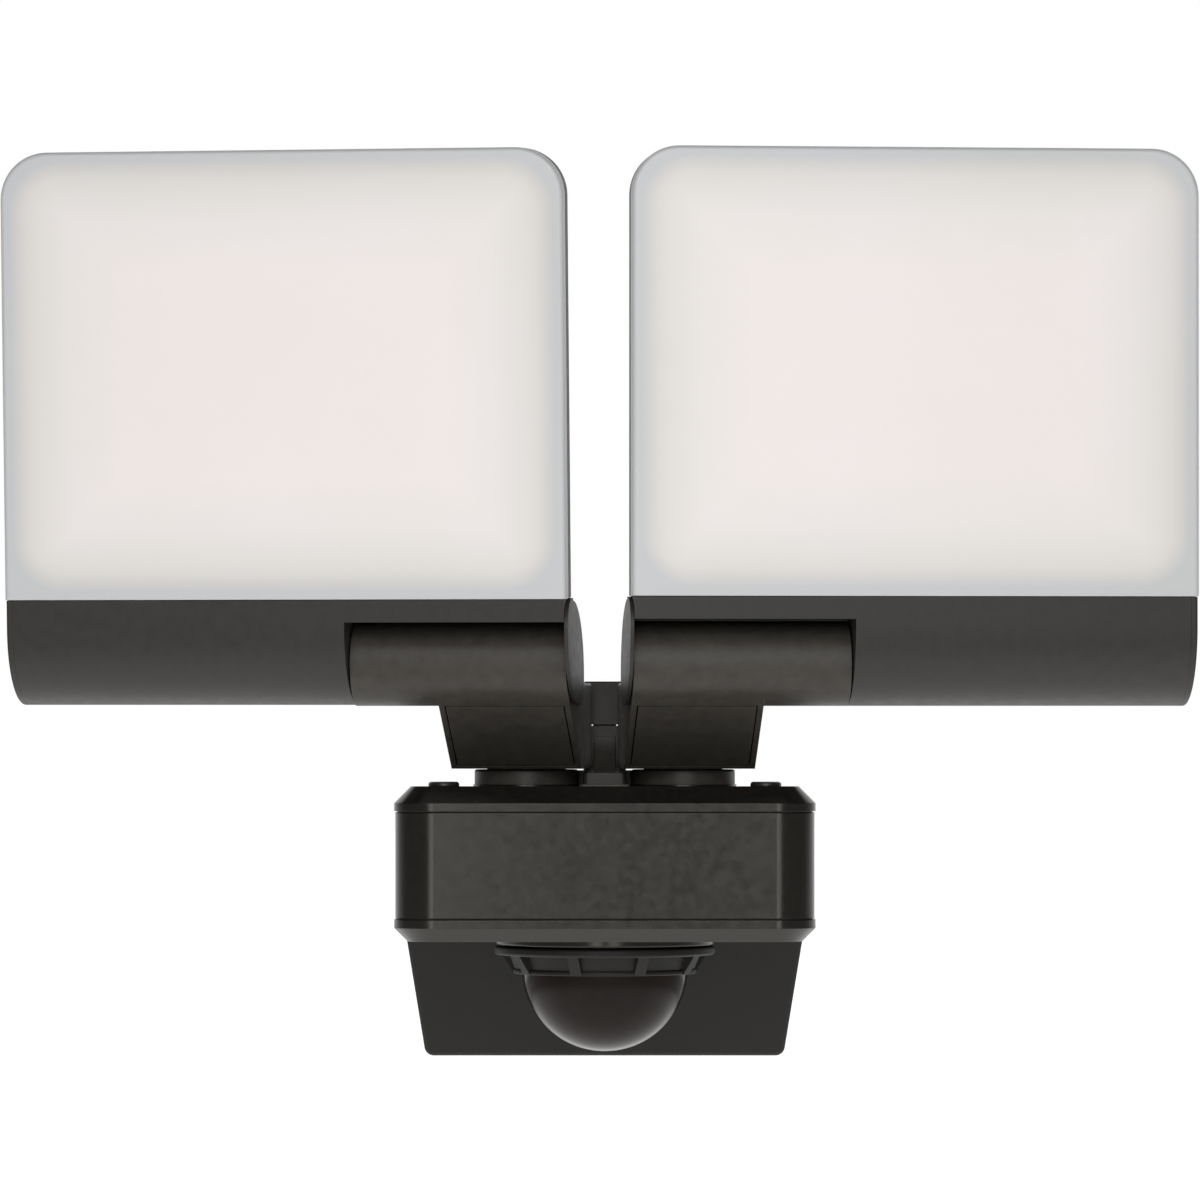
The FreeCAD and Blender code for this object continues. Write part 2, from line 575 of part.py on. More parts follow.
def wall_plate():
    low = -PLATE_HEIGHT / 2
    plate = box(-PLATE_WIDTH / 2, PLATE_WIDTH / 2, -PLATE_THICKNESS, 0, low, low + PLATE_HEIGHT)
    plate = plate.makeFillet(4.0, edges_at(plate, lambda b: b.YLength > 1))
    tab_low = BOX_FOOT_Z + BOX_WALL + 3 * FIT_GAP
    tab_top = tab_low + 2.0
    for place in box_screw_places():
        tab = box(place.x - 7, place.x + 7, -15, 0, tab_low, tab_top)
        web = box(place.x - 7, place.x + 7, -PLATE_THICKNESS, 0, tab_low, low + 1)
        plate = plate.fuse(tab).fuse(web)
        plate = plate.cut(rod(at_z(place, tab_top - 3), at_z(place, tab_top + 1), SCREW_RADIUS + RUNNING_GAP))
    for side in (-1, 1):
        centre = side * SLOT_SPACING / 2
        reach = (SLOT_LENGTH - SLOT_WIDTH) / 2
        slot = box(centre - reach, centre + reach, -5, 1, -SLOT_WIDTH / 2, SLOT_WIDTH / 2)
        for end in (-reach, reach):
            slot = slot.fuse(rod(V(centre + end, 1, 0), V(centre + end, -5, 0), SLOT_WIDTH / 2))
        plate = plate.cut(slot)
    plate = plate.cut(rod(V(0, 1, 0), V(0, -5, 0), CABLE_HOLE))
    return plate.removeSplitter()


def cable_grommet():
    body = tube(V(0, 0, 0), V(0, -6, 0), CABLE_HOLE - FIT_GAP, GROMMET_BORE)
    lip = tube(V(0, -PLATE_THICKNESS - 0.1, 0), V(0, -PLATE_THICKNESS - 1.6, 0), CABLE_HOLE + 2, GROMMET_BORE)
    return body.fuse(lip).removeSplitter()


def terminal_block():
    length = 40.0
    block = box(-length / 2, length / 2, -24, -10, -26, -14)
    foot = box(-length / 2 - 4, length / 2 + 4, -10, -PLATE_THICKNESS, -24, -16)
    block = block.fuse(foot)
    ways = 4
    for way in range(ways):
        x = -length / 2 + length / ways * (way + 0.5)
        block = block.cut(rod(V(x, -25, -20), V(x, -18, -20), 2.4))
        block = block.cut(rod(V(x, -14, -27), V(x, -14, -13), 1.8))
    return block.removeSplitter()


def joint_screws():
    screws = []
    for place in joint_screw_places():
        head = rod(place, place + V(0, PAN_HEAD_HEIGHT * 2, 0), PAN_HEAD_RADIUS)
        shank = rod(place + V(0, 0.2, 0), place - V(0, BOX_WALL + HOUSING_WALL + 3, 0), SCREW_RADIUS)
        screws.append(head.fuse(shank).removeSplitter())
    return Part.makeCompound(screws)


def box_screws():
    return Part.makeCompound([pan_screw(p, BOX_FOOT_Z + 1.2, -1, 6.0) for p in box_screw_places()])


# ---- Swivel, left side ----
def swivel_axis(z):
    return V(-SWIVEL_X, SWIVEL_Y, z)


def neck():
    body = rod(swivel_axis(HOUSING_TOP_Z), swivel_axis(NECK_TOP_Z), NECK_RADIUS)
    rim = edges_at(body, lambda b: b.ZMin > NECK_TOP_Z - 0.01)
    body = body.makeFillet(EDGE_ROUND, rim)
    tenon = rod(swivel_axis(HOUSING_TOP_Z - HOUSING_WALL - 1.2), swivel_axis(HOUSING_TOP_Z + 1), TENON_RADIUS)
    bore = rod(swivel_axis(0), swivel_axis(NECK_TOP_Z + 1), TUBE_RADIUS + RUNNING_GAP)
    groove = tube(swivel_axis(NECK_TOP_Z - 1.0), swivel_axis(NECK_TOP_Z + 1), 10.2, 8.2)
    return body.fuse(tenon).cut(bore).cut(groove).removeSplitter()


def swivel_seal():
    return tube(swivel_axis(NECK_TOP_Z - 1.0), swivel_axis(NECK_TOP_Z + 0.15), 10.1, 8.3)


def swivel_tube():
    low = HOUSING_TOP_Z - HOUSING_WALL - 8.5
    return tube(swivel_axis(low), swivel_axis(FOOT_Z + 3.0), TUBE_RADIUS, TUBE_BORE)


def swivel_washer():
    top = HOUSING_TOP_Z - HOUSING_WALL - 1.2 - 0.3
    return tube(swivel_axis(top), swivel_axis(top - 1.2), 9.5, TUBE_RADIUS + RUNNING_GAP)


def swivel_nut():
    top = HOUSING_TOP_Z - HOUSING_WALL - 1.2 - 0.3 - 1.2
    radius = 9.0
    corners = [on_circle((0, 0), radius, 60 * k) for k in range(6)]
    face = outline(corners, lambda x, y: swivel_axis(top) + V(x, y, 0))
    return face.extrude(V(0, 0, -3.5)).cut(rod(swivel_axis(top + 1), swivel_axis(top - 9), TUBE_RADIUS))


# ---- Arm, left side ----
def arm_point(ahead, z, x=0.0):
    """A point measured ahead of the swivel axis."""
    return V(-SWIVEL_X + x, SWIVEL_Y - ahead, z)


def slope_point(along, inward):
    """A point on the arm's sloping front, measured up from the foot's edge and into the arm."""
    ahead = FOOT_AHEAD + along * math.cos(SLOPE) - inward * math.sin(SLOPE)
    return (ahead, FOOT_Z + along * math.sin(SLOPE) + inward * math.cos(SLOPE))


def slope_slab(half_width, low, high, depth):
    corners = [slope_point(low, 0), slope_point(high, 0), slope_point(high, depth), slope_point(low, depth)]
    return outline(corners, lambda a, z: arm_point(a, z, -half_width)).extrude(V(2 * half_width, 0, 0))


def arm_body():
    rear = -ARM_HALF_WIDTH
    profile = [slope_point(0, 0), (rear, FOOT_Z), (rear, ARM_TOP_Z), (TILT_AHEAD, ARM_TOP_Z),
               (TILT_AHEAD, TILT_Z), slope_point(SLOPE_LENGTH, 0)]
    block = outline(profile, lambda a, z: arm_point(a, z, -ARM_HALF_WIDTH)).extrude(V(2 * ARM_HALF_WIDTH, 0, 0))
    plan = rod(swivel_axis(FOOT_Z - 1), swivel_axis(TILT_Z + 20), ARM_HALF_WIDTH)
    plan = plan.fuse(box(-SWIVEL_X - ARM_HALF_WIDTH, ARM_INNER_X, SWIVEL_Y, SWIVEL_Y - 60, FOOT_Z - 1, TILT_Z + 20))
    barrel = rod(V(BARREL_OUT, TILT_Y, TILT_Z), V(ARM_INNER_X, TILT_Y, TILT_Z), BARREL_RADIUS)
    return block.common(plan.removeSplitter()).fuse(barrel).removeSplitter()


def arm():
    body = arm_body()
    top_edges = edges_at(body, lambda b: b.ZMin > ARM_TOP_Z - 0.01 and b.ZLength < 0.01 and b.YMax > SWIVEL_Y - 5)
    body = body.makeFillet(EDGE_ROUND, top_edges)
    body = body.cut(slope_slab(COVER_HALF_WIDTH, COVER_LOW, COVER_HIGH, COVER_THICKNESS + 0.2))
    wall = ARM_WALL + 1.2
    start = slope_point(wall / math.sin(SLOPE), COVER_THICKNESS)
    high = slope_point(COVER_HIGH - 4.0, COVER_THICKNESS)
    pocket = [(-wall, FOOT_Z + wall), start, high, (TILT_AHEAD - 0.5, TILT_Z - 2.0),
              (TILT_AHEAD - 4.5, TILT_Z - 2.0), (TILT_AHEAD - 9.5, ARM_TOP_Z - ARM_WALL),
              (-wall, ARM_TOP_Z - ARM_WALL)]
    room = outline(pocket, lambda a, z: arm_point(a, z, -12.0)).extrude(V(24.0, 0, 0))
    body = body.cut(room)
    body = body.cut(rod(swivel_axis(FOOT_Z - 1), swivel_axis(FOOT_Z + 3.0), TUBE_RADIUS))
    body = body.cut(rod(swivel_axis(FOOT_Z - 1), swivel_axis(FOOT_Z + 6.0), TUBE_BORE))
    body = body.cut(rod(V(BARREL_OUT - 1, TILT_Y, TILT_Z), V(-SWIVEL_X + 6, TILT_Y, TILT_Z), AXLE_RADIUS))
    seat = V(ARM_INNER_X, TILT_Y, TILT_Z)
    body = body.cut(rod(seat + V(1, 0, 0), seat - V(6, 0, 0), BOSS_RADIUS + RUNNING_GAP))
    return body.removeSplitter()


def arm_cover():
    gap = SIDE_GAP
    slab = slope_slab(COVER_HALF_WIDTH - gap, COVER_LOW + gap, COVER_HIGH - gap, COVER_THICKNESS)
    return slab


def lead():
    """The insulated lead inside the arm, from the tilt axle to the housing."""
    points = [
        V(BARREL_OUT + 2, TILT_Y, TILT_Z),
        V(-SWIVEL_X, TILT_Y, TILT_Z),
        arm_point(LEAD_LOW_AHEAD, FOOT_Z + 13.0),
        arm_point(0.0, FOOT_Z + 10.0),
        swivel_axis(HOUSING_TOP_Z - 14.0),
    ]
    path = rounded_path(points, LEAD_BENDS)
    section = Part.Wire([Part.Circle(points[0], V(1, 0, 0), LEAD_RADIUS).toShape()])
    return path.makePipeShell([section], True, False)


# ---- Head, left side ----
def panel_outline(inset, low):
    """Front outline of the light panel: square at the bottom, rounded at the top."""
    left = PANEL_OUT + inset
    right = PANEL_IN - inset
    top = PANEL_TOP_Z - inset
    corner = PANEL_CORNER - inset
    return [
        (left, low), (right, low), (right, top - corner),
        (on_circle((right - corner, top - corner), corner, 45), (right - corner, top)),
        (left + corner, top),
        (on_circle((left + corner, top - corner), corner, 135), (left, top - corner)),
    ]


def panel_block(inset, low, depth0, depth1):
    face = outline(panel_outline(inset, low), lambda x, z: V(x, FRONT_Y + depth0, z))
    return face.extrude(V(0, depth1 - depth0, 0))


def diffuser():
    low = BAR_TOP_Z + FIT_GAP
    body = panel_block(0, low, 0, DIFFUSER_DEPTH)
    rim = edges_at(body, lambda b: b.YMax < FRONT_Y + 0.01 and b.ZMax > low + 0.1)
    body = body.makeFillet(DIFFUSER_ROUND, rim)
    body = body.cut(panel_block(DIFFUSER_WALL, low + DIFFUSER_WALL, DIFFUSER_FRONT, DIFFUSER_DEPTH))
    lip_in = TRAY_WALL + FIT_GAP
    lip = panel_block(lip_in, low + lip_in, DIFFUSER_DEPTH - 1.0, DIFFUSER_DEPTH + 1.4)
    lip = lip.cut(panel_block(lip_in + 1.0, low + lip_in + 1.0, DIFFUSER_DEPTH - 1.0, DIFFUSER_DEPTH + 1.4))
    bridge = panel_block(DIFFUSER_WALL - 0.2, low + DIFFUSER_WALL - 0.2, DIFFUSER_DEPTH - 1.0, DIFFUSER_DEPTH - 0.2)
    bridge = bridge.cut(panel_block(lip_in + 1.0, low + lip_in + 1.0, DIFFUSER_DEPTH - 1.0, DIFFUSER_DEPTH - 0.2))
    return body.fuse(bridge).fuse(lip).removeSplitter()


def diffuser_seal():
    low = BAR_TOP_Z + FIT_GAP
    outer = panel_block(0.5, low + 0.5, DIFFUSER_DEPTH, DIFFUSER_DEPTH + SEAM_GAP)
    return outer.cut(panel_block(TRAY_WALL, low + TRAY_WALL, DIFFUSER_DEPTH, DIFFUSER_DEPTH + SEAM_GAP))


def bar_profile(inset):
    """Side outline of the bar as (distance behind the light face, height)."""
    front = inset
    back = BAR_DEPTH - inset
    top = BAR_TOP_Z - inset
    bottom = BAR_BOTTOM_Z + inset
    front_centre = (BAR_FRONT_RADIUS, BAR_BOTTOM_Z + BAR_FRONT_RADIUS)
    front_radius = BAR_FRONT_RADIUS - inset
    heel_centre = (BAR_DEPTH - BAR_HEEL_RADIUS, BAR_BOTTOM_Z + BAR_HEEL_RADIUS)
    heel_radius = BAR_HEEL_RADIUS - inset
    back_centre = (BAR_DEPTH - BAR_BACK_RADIUS, BAR_BOTTOM_Z + 8.0)
    back_radius = BAR_BACK_RADIUS - inset
    meet = PANEL_DEPTH - inset * 0.2
    meet_angle = math.degrees(math.acos((meet - back_centre[0]) / back_radius))
    steps = [(front, top), (front, front_centre[1])]
    steps.append((on_circle(front_centre, front_radius, 225), (front_centre[0], bottom)))
    if heel_centre[0] > front_centre[0] + 0.01:
        steps.append((heel_centre[0], bottom))
    steps.append((on_circle(heel_centre, heel_radius, -45), (back, heel_centre[1])))
    steps.append((back, back_centre[1]))
    arc_end = on_circle(back_centre, back_radius, meet_angle)
    steps.append((on_circle(back_centre, back_radius, meet_angle / 2), arc_end))
    if top > arc_end[1] + 0.01:
        steps.append((meet, top))
    return steps


def bar_block(inset, x0, x1):
    face = outline(bar_profile(inset), lambda q, z: V(x0, FRONT_Y + q, z))
    return face.extrude(V(x1 - x0, 0, 0))


def notch():
    """The room for barrel and arm: open to the front, its ceiling wrapped round the barrel behind the axis."""
    ahead = box(NOTCH_OUT, NOTCH_IN + 1, FRONT_Y - 1, TILT_Y, BAR_BOTTOM_Z - 1, NOTCH_TOP_Z)
    behind = box(NOTCH_OUT, NOTCH_IN + 1, TILT_Y, FRONT_Y + BAR_DEPTH + 1, BAR_BOTTOM_Z - 1, TILT_Z + NOTCH_LIP)
    barrel = rod(V(NOTCH_OUT, TILT_Y, TILT_Z), V(NOTCH_IN + 1, TILT_Y, TILT_Z), BARREL_RADIUS + SIDE_GAP)
    return ahead.fuse(behind).fuse(barrel)


def head_frame():
    bar = bar_block(0, BAR_OUT + OUTER_CAP, NOTCH_IN)
    bar = bar.cut(notch())
    wall = 3.0
    bar = bar.cut(bar_block(BAR_WALL, BAR_OUT + OUTER_CAP - 1, NOTCH_OUT - wall))
    low = BAR_TOP_Z - 2.0
    tray = panel_block(0, low, DIFFUSER_DEPTH + SEAM_GAP, PANEL_DEPTH)
    back_rim = edges_at(tray, lambda b: b.YMin > PANEL_BACK_Y - 0.01 and b.ZMax > low + 0.1)
    tray = tray.makeFillet(1.0, back_rim)
    below = box(PANEL_OUT - 1, BAR_OUT + OUTER_CAP, FRONT_Y, FRONT_Y + BAR_DEPTH, low - 1, BAR_TOP_Z)
    below = below.fuse(box(NOTCH_IN, PANEL_IN + 5, FRONT_Y, FRONT_Y + BAR_DEPTH, low - 1, BAR_TOP_Z + 0.2))
    tray = tray.cut(below)
    room = panel_block(TRAY_WALL, BAR_TOP_Z + TRAY_WALL, 0, PANEL_DEPTH - TRAY_FLOOR)
    frame = bar.fuse(tray).cut(room)
    span = HEAD_WIDTH - 44.0
    for rib in range(RIB_COUNT):
        x = PANEL_IN - 22.0 - span * rib / (RIB_COUNT - 1)
        fin = box(x - 0.9, x + 0.9, PANEL_BACK_Y - 0.5, PANEL_BACK_Y + RIB_HEIGHT, BAR_TOP_Z + 14, PANEL_TOP_Z - 12)
        ends = edges_at(fin, lambda b: b.XLength > 1 and b.YMin > PANEL_BACK_Y + RIB_HEIGHT - 0.01)
        fin = fin.makeFillet(RIB_HEIGHT * 0.8, ends)
        frame = frame.fuse(fin)
    axis = V(0, TILT_Y, TILT_Z)
    frame = frame.cut(rod(axis + V(NOTCH_OUT - wall - 1, 0, 0), axis + V(NOTCH_OUT + 1, 0, 0), AXLE_RADIUS + RUNNING_GAP))
    wire_hole = rod(V(NOTCH_OUT - 20, FRONT_Y + 7, BAR_TOP_Z - 6), V(NOTCH_OUT - 20, FRONT_Y + 7, BAR_TOP_Z + 4), 1.1)
    return frame.cut(wire_hole).removeSplitter()


def bar_outer_cap():
    plate = bar_block(0, BAR_OUT, BAR_OUT + OUTER_CAP)
    outer_edges = edges_at(plate, lambda b: b.XMax < BAR_OUT + 0.01 and b.ZMin < BAR_TOP_Z - 1.0)
    plate = plate.makeFillet(EDGE_ROUND, outer_edges)
    plug = bar_block(BAR_WALL + FIT_GAP, BAR_OUT + OUTER_CAP - 0.5, BAR_OUT + OUTER_CAP + 3.0)
    return plate.fuse(plug).removeSplitter()


def bar_inner_cap():
    plate = bar_block(0, NOTCH_IN, NOTCH_IN + END_CAP)
    nose = box(NOTCH_IN - 1, NOTCH_IN + END_CAP + 1, FRONT_Y - 1, FRONT_Y + 8, BAR_TOP_Z - 8, BAR_TOP_Z + 1)
    centre = V(NOTCH_IN - 1, FRONT_Y + 8, BAR_TOP_Z - 8)
    nose = nose.cut(rod(centre, centre + V(END_CAP + 2, 0, 0), 8.0))
    plate = plate.cut(nose)
    hub = V(NOTCH_IN, TILT_Y, TILT_Z)
    boss = rod(hub + V(0.2, 0, 0), hub - V(SIDE_GAP + 5.2, 0, 0), BOSS_RADIUS)
    return plate.fuse(boss).removeSplitter()


def tilt_axle():
    axis = V(0, TILT_Y, TILT_Z)
    inner = axis + V(BARREL_OUT + 12, 0, 0)
    outer = axis + V(NOTCH_OUT - 9, 0, 0)
    return tube(outer, inner, AXLE_RADIUS, AXLE_BORE)


def tilt_nut():
    """A spring washer and a nut that hold the barrel against the bar."""
    seat = NOTCH_OUT - 3.0 - SIDE_GAP
    washer = tube(V(seat, TILT_Y, TILT_Z), V(seat - 1.0, TILT_Y, TILT_Z), 6.4, AXLE_RADIUS)
    corners = [on_circle((0, 0), 6.6, 60 * k) for k in range(6)]
    face = outline(corners, lambda y, z: V(seat - 1.0, TILT_Y + y, TILT_Z + z))
    nut = face.extrude(V(-3.2, 0, 0)).cut(rod(V(seat + 1, TILT_Y, TILT_Z), V(seat - 9, TILT_Y, TILT_Z), AXLE_RADIUS))
    return washer.fuse(nut).removeSplitter()


def board_limits():
    margin = 5.0
    return (PANEL_OUT + margin, PANEL_IN - margin, BAR_TOP_Z + margin + 1, PANEL_TOP_Z - margin)


def led_places():
    x0, x1, z0, z1 = board_limits()
    places = []
    for row in range(LED_ROWS):
        for column in range(LED_COLUMNS):
            x = x0 + (x1 - x0) * (column + 0.5) / LED_COLUMNS
            z = z0 + (z1 - z0) * (row + 0.5) / LED_ROWS
            places.append((x, z))
    return places


BOARD_BACK = PANEL_DEPTH - TRAY_FLOOR
BOARD_FRONT = BOARD_BACK - 1.2
LED_FRONT = BOARD_FRONT - 0.7


def clipped_sheet(extra, depth0, depth1):
    x0, x1, z0, z1 = board_limits()
    sheet = box(x0 - extra, x1 + extra, FRONT_Y + depth0, FRONT_Y + depth1, z0 - extra, z1 + extra)
    top = edges_at(sheet, lambda b: b.YLength > 0.1 and b.XLength < 0.01 and b.ZMin > z1 - 0.01)
    return sheet.makeFillet(PANEL_CORNER - 4.0, top)


def led_board():
    return clipped_sheet(0, BOARD_FRONT, BOARD_BACK)


def leds():
    chip = 1.5
    chips = [box(x - chip, x + chip, FRONT_Y + LED_FRONT, FRONT_Y + BOARD_FRONT, z - chip, z + chip)
             for x, z in led_places()]
    return Part.makeCompound(chips)


def reflector():
    sheet = clipped_sheet(0.6, BOARD_FRONT - 0.5, BOARD_FRONT - 0.1)
    hole = 1.9
    for x, z in led_places():
        sheet = sheet.cut(box(x - hole, x + hole, FRONT_Y, FRONT_Y + PANEL_DEPTH, z - hole, z + hole))
    return sheet


# ---- Placing and writing ----
def placed(shape, side, leans):
    """Put a left-hand piece on its side, leaned with the head if asked, and turned with the arm."""
    yaw = LEFT_YAW
    lean = LEFT_LEAN
    axis_x = -SWIVEL_X
    turn = -1
    if side == "right":
        shape = shape.mirror(V(0, 0, 0), V(1, 0, 0))
        yaw = RIGHT_YAW
        lean = RIGHT_LEAN
        axis_x = SWIVEL_X
        turn = 1
    shape = shape.copy()
    if leans:
        shape.rotate(V(0, TILT_Y, TILT_Z), V(1, 0, 0), lean)
    shape.rotate(V(axis_x, SWIVEL_Y, 0), V(0, 0, 1), turn * yaw)
    return shape


def mirrored(shape, side):
    if side == "right":
        return shape.mirror(V(0, 0, 0), V(1, 0, 0))
    return shape


FIXED = {
    "top_cap": top_cap,
    "middle_shell": middle_shell,
    "bottom_cap": bottom_cap,
    "top_seal": lambda: housing_seal(TOP_SEAM_Z),
    "bottom_seal": lambda: housing_seal(BOTTOM_SEAM_Z),
    "top_screws": top_screws,
    "bottom_screws": bottom_screws,
    "driver_board": driver_board,
    "driver_parts": driver_parts,
    "sensor_board": sensor_board,
    "pyro_sensor": pyro_sensor,
    "ring_seat": ring_seat,
    "dome_lens": dome_lens,
    "grip_ring": grip_ring,
    "centre_post": centre_post,
    "post_cap": post_cap,
    "wall_box": wall_box,
    "wall_seal": wall_seal,
    "wall_plate": wall_plate,
    "cable_grommet": cable_grommet,
    "terminal_block": terminal_block,
    "joint_screws": joint_screws,
    "box_screws": box_screws,
}
NECKS = {"neck": neck, "swivel_seal": swivel_seal}
ARM = {
    "arm": arm,
    "arm_cover": arm_cover,
    "swivel_tube": swivel_tube,
    "swivel_washer": swivel_washer,
    "swivel_nut": swivel_nut,
    "tilt_axle": tilt_axle,
    "tilt_nut": tilt_nut,
    "lead": lead,
}
HEAD = {
    "head_frame": head_frame,
    "bar_outer_cap": bar_outer_cap,
    "bar_inner_cap": bar_inner_cap,
    "diffuser": diffuser,
    "diffuser_seal": diffuser_seal,
    "led_board": led_board,
    "leds": leds,
    "reflector": reflector,
}

os.makedirs("parts", exist_ok=True)


def write(name, shape):
    shape.exportStep("parts/" + name + ".step")


for name, make in FIXED.items():
    write(name, make())
for name, make in NECKS.items():
    for side in ("left", "right"):
        write(side + "_" + name, mirrored(make(), side))
for group, leans in ((ARM, False), (HEAD, True)):
    for name, make in group.items():
        piece = make()
        for side in ("left", "right"):
            write(side + "_" + name, placed(piece, side, leans))
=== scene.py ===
import json
import math

import bpy
from mathutils import Matrix, Vector


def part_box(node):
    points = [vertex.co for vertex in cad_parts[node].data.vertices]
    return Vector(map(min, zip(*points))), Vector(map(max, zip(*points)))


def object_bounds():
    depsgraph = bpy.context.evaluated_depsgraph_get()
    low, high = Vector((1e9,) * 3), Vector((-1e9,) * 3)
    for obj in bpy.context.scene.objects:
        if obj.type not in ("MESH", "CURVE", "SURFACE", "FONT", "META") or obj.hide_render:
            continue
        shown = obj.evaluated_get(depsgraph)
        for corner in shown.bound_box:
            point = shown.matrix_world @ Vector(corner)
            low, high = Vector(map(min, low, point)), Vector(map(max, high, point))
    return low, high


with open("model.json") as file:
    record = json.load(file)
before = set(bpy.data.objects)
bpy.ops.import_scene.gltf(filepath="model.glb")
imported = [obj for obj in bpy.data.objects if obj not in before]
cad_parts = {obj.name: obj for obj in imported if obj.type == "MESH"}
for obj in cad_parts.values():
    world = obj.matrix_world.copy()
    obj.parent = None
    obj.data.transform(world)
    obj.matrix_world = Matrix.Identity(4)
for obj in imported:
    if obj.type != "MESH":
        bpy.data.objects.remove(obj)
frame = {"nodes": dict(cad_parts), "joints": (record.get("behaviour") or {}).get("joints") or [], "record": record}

# Twin-head wall floodlight with a motion sensor dome.  Metres, in the frame of the CAD model:
# +Z is up, the lamp looks along -Y and the wall is the plane Y = 0.

MM = 0.001
CLOUDS_PER_GRAIN = 6       # the colour drifts over patches this many grains wide
GRAIN_DEPTH = 0.02         # mm
WALL_LIGHT = 0.07          # brightness of the studio's dim side walls
BACKDROP_LIGHT = 1.0
FLOOR_LIGHT = 0.9
POOL_LIGHT = 1.15
APRON_LIGHT = 0.22         # between the pool under the lamp and the bright floor behind it
nodes = frame["nodes"]
cad_low, cad_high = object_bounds()
scene = bpy.context.scene
scene.view_settings.view_transform = "Standard"


# ---- Colours and nodes ----
def linear(code):
    """An sRGB hex colour as linear RGBA."""
    channels = [int(code[i:i + 2], 16) / 255 for i in (1, 3, 5)]
    return tuple(c / 12.92 if c <= 0.04045 else ((c + 0.055) / 1.055) ** 2.4 for c in channels) + (1.0,)


def add(tree, kind, settings=(), links=()):
    """Add a node; settings and links name its properties or input sockets."""
    node = tree.nodes.new("ShaderNode" + kind)
    for name, value in dict(settings).items():
        if isinstance(name, int) or name in node.inputs:
            node.inputs[name].default_value = value
        else:
            setattr(node, name, value)
    for name, source in dict(links).items():
        tree.links.new(source, node.inputs[name])
    return node


def finish(name, surface):
    """A material called name, with its Principled shader's uniform values set."""
    material = bpy.data.materials.new(name)
    material.use_nodes = True
    tree = material.node_tree
    tree.nodes.clear()
    shader = add(tree, "BsdfPrincipled", surface)
    add(tree, "OutputMaterial", {}, {"Surface": shader.outputs[0]})
    return material, tree, shader


def per_mm(size):
    """Texture scale that makes one cell of a pattern this many millimetres wide."""
    return 1.0 / (size * MM)


def coloured_grain(tree, shader, dark, light, grain, place):
    """Two close colours mixed by a fine noise of the given grain in mm."""
    noise = add(tree, "TexNoise", {"Scale": per_mm(grain), "Detail": 3.0, "Roughness": 0.6}, {"Vector": place})
    spread = add(tree, "MapRange", {"From Min": 0.3, "From Max": 0.7}, {"Value": noise.outputs["Fac"]})
    mix = add(tree, "Mix", {"data_type": "RGBA", 6: linear(dark), 7: linear(light)}, {0: spread.outputs[0]})
    tree.links.new(mix.outputs[2], shader.inputs["Base Color"])
    return noise


def moulded(name, dark, light, grain, roughness, edge=0.25, surface=()):
    """A coated or moulded surface: fine grain in colour, gloss and relief.  Grain and edge are in mm."""
    material, tree, shader = finish(name, dict(surface))
    place = add(tree, "TexCoord").outputs["Object"]
    noise = coloured_grain(tree, shader, dark, light, grain * CLOUDS_PER_GRAIN, place)
    dull, duller = roughness
    gloss = add(tree, "MapRange", {"From Min": 0.3, "From Max": 0.7, "To Min": dull, "To Max": duller},
                {"Value": noise.outputs["Fac"]})
    tree.links.new(gloss.outputs[0], shader.inputs["Roughness"])
    relief = add(tree, "TexNoise", {"Scale": per_mm(grain), "Detail": 2.0}, {"Vector": place})
    pitted = add(tree, "Bump", {"Distance": GRAIN_DEPTH * MM, "Strength": 0.35},
                 {"Height": relief.outputs["Fac"]})
    if edge:
        # Every real edge has a small round that catches the light.
        rounded = add(tree, "Bevel", {"samples": 4, "Radius": edge * MM})
        tree.links.new(rounded.outputs[0], pitted.inputs["Normal"])
    tree.links.new(pitted.outputs[0], shader.inputs["Normal"])
    return material


WARM_SHEEN = "#fffaf2"    # the dark pigments reflect a little warmer than white
# Anthracite polyester powder coat on die-cast aluminium: satin, with a fine orange peel.
POWDER_COAT = moulded("Powder_coated_aluminium", "#272522", "#2d2b28", 0.5, (0.42, 0.52),
                      surface={"Specular IOR Level": 0.3})
# The same coat on the knuckles, arms, necks and post, painted a shade lighter and browner, and duller: painted
# light that brightens these shaded parts.
KNUCKLE_COAT_PAINTED_LIGHT = moulded("Powder_coat_painted_light_knuckles", "#373430", "#403d38", 0.5, (0.36, 0.46),
                       surface={"Specular IOR Level": 0.22})
# Moulded ABS of the housing: near black, with a fine satin grain that draws bright lines on its corners.
MOULDED_ABS = moulded("Moulded_ABS_satin", "#12100e", "#171512", 0.35, (0.17, 0.23),
                      surface={"Specular IOR Level": 0.4, "Specular Tint": linear(WARM_SHEEN)})
# Spark-eroded ABS of the wall box: duller and darker than the housing.
ERODED_ABS = moulded("Spark_eroded_ABS", "#171614", "#1c1a18", 0.5, (0.5, 0.6),
                     surface={"Specular IOR Level": 0.22})
# Black rubber: soft and dull.
BLACK_RUBBER = moulded("Black_rubber", "#151515", "#1c1c1c", 0.4, (0.6, 0.75))
# Zinc-plated steel: bright, slightly milky.
ZINC_STEEL = moulded("Zinc_plated_steel", "#b9bbbd", "#c9cbcd", 0.6, (0.28, 0.4), surface={"Metallic": 1.0})
# Black-oxide steel screws.
BLACK_STEEL = moulded("Black_oxide_steel", "#1d1c1b", "#262523", 0.4, (0.35, 0.45), edge=0.1)
# Epoxy board under green solder mask.
GREEN_BOARD = moulded("Green_solder_mask", "#0f4a2b", "#15573a", 0.8, (0.3, 0.4), edge=0)
# White reflective lacquer on the light boards.
WHITE_BOARD = moulded("White_solder_mask", "#e6e6e2", "#f2f2ee", 0.8, (0.45, 0.55), edge=0)
# Component bodies of black epoxy.
BLACK_EPOXY = moulded("Black_epoxy", "#191919", "#242424", 0.4, (0.45, 0.6), edge=0.1)
